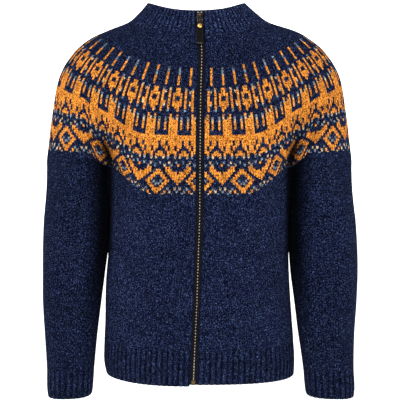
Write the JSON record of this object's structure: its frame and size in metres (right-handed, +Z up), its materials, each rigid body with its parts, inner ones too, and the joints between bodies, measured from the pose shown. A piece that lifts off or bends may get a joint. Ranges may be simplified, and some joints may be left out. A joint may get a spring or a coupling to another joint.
{
  "type": "zip sweater jacket",
  "caption": "Knitted round-yoke cardigan with a full front zip, ribbed stand collar, cuffs and hem, hollow as when worn.",
  "frame": {"origin": "base of the neck, midway between the shoulders and between front and back", "axes": "+Z up, +X to the wearer's left, -Y to the front"},
  "size_m": [0.5996, 0.2403, 0.7427],
  "materials": {
    "navy_wool": "heathered navy stockinette and rib in thick soft wool, matt with a faint fuzz",
    "pattern_wool": "navy wool stranded with orange, cream and pale blue-grey yarn in a round yoke pattern, matt",
    "black_tape": "woven black zip tape with a slight sheen",
    "dark_bronze": "dark bronze plated metal, satin",
    "aged_brass": "warm brass, satin with worn edges",
    "black_leather": "black leather with a paler painted edge"
  },
  "bodies": {
    "cardigan": {"collar": "navy_wool", "yoke": "pattern_wool", "front_right": "navy_wool", "front_left": "navy_wool", "back": "navy_wool", "sleeve_right": "navy_wool", "sleeve_left": "navy_wool", "cuff_right": "navy_wool", "cuff_left": "navy_wool", "hem_rib_front_right": "navy_wool", "hem_rib_front_left": "navy_wool", "hem_rib_back": "navy_wool", "zip_tape_right": "black_tape", "zip_tape_left": "black_tape", "zip_chain": "black_tape", "zip_box": "aged_brass", "zip_slider": "dark_bronze"},
    "zip_pull": {"pull_link": "dark_bronze", "pull_rivet": "aged_brass", "pull_tab": "black_leather"}
  },
  "joints": [
    {"name": "pull_swing", "type": "hinge", "parent": "cardigan", "child": "zip_pull", "pos_m": [-0.00101, -0.07492, 0.0182], "axis": [-1, 0.0003, 0.0007], "range_deg": [0, 170]}
  ]
}
